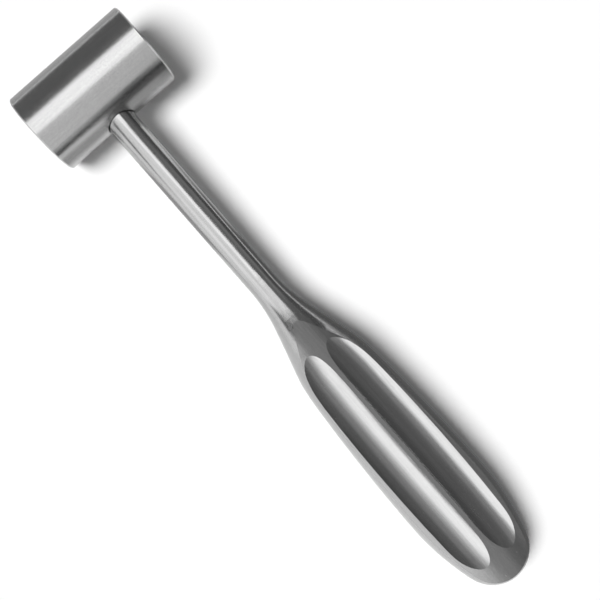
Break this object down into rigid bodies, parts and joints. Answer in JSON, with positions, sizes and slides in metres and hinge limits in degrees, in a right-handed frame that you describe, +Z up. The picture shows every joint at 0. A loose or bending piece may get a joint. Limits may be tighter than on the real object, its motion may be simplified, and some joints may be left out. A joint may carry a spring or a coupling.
{
  "type": "surgical mallet",
  "caption": "Steel surgical mallet with a short cylindrical head, a slim round shaft and a flattened grip with long finger flutes and a rounded end.",
  "frame": {"origin": "middle of the overall length and width, on the surface that the mallet lies on", "axes": "+X from the head to the grip's end, +Y along the head's axis, +Z up from the surface that the mallet lies on"},
  "size_m": [0.2408, 0.05, 0.032],
  "materials": {
    "head_steel": "satin, turned",
    "handle_steel": "fine satin, polished along the handle"
  },
  "bodies": {
    "root": {"head": "head_steel", "handle": "handle_steel"}
  },
  "joints": []
}
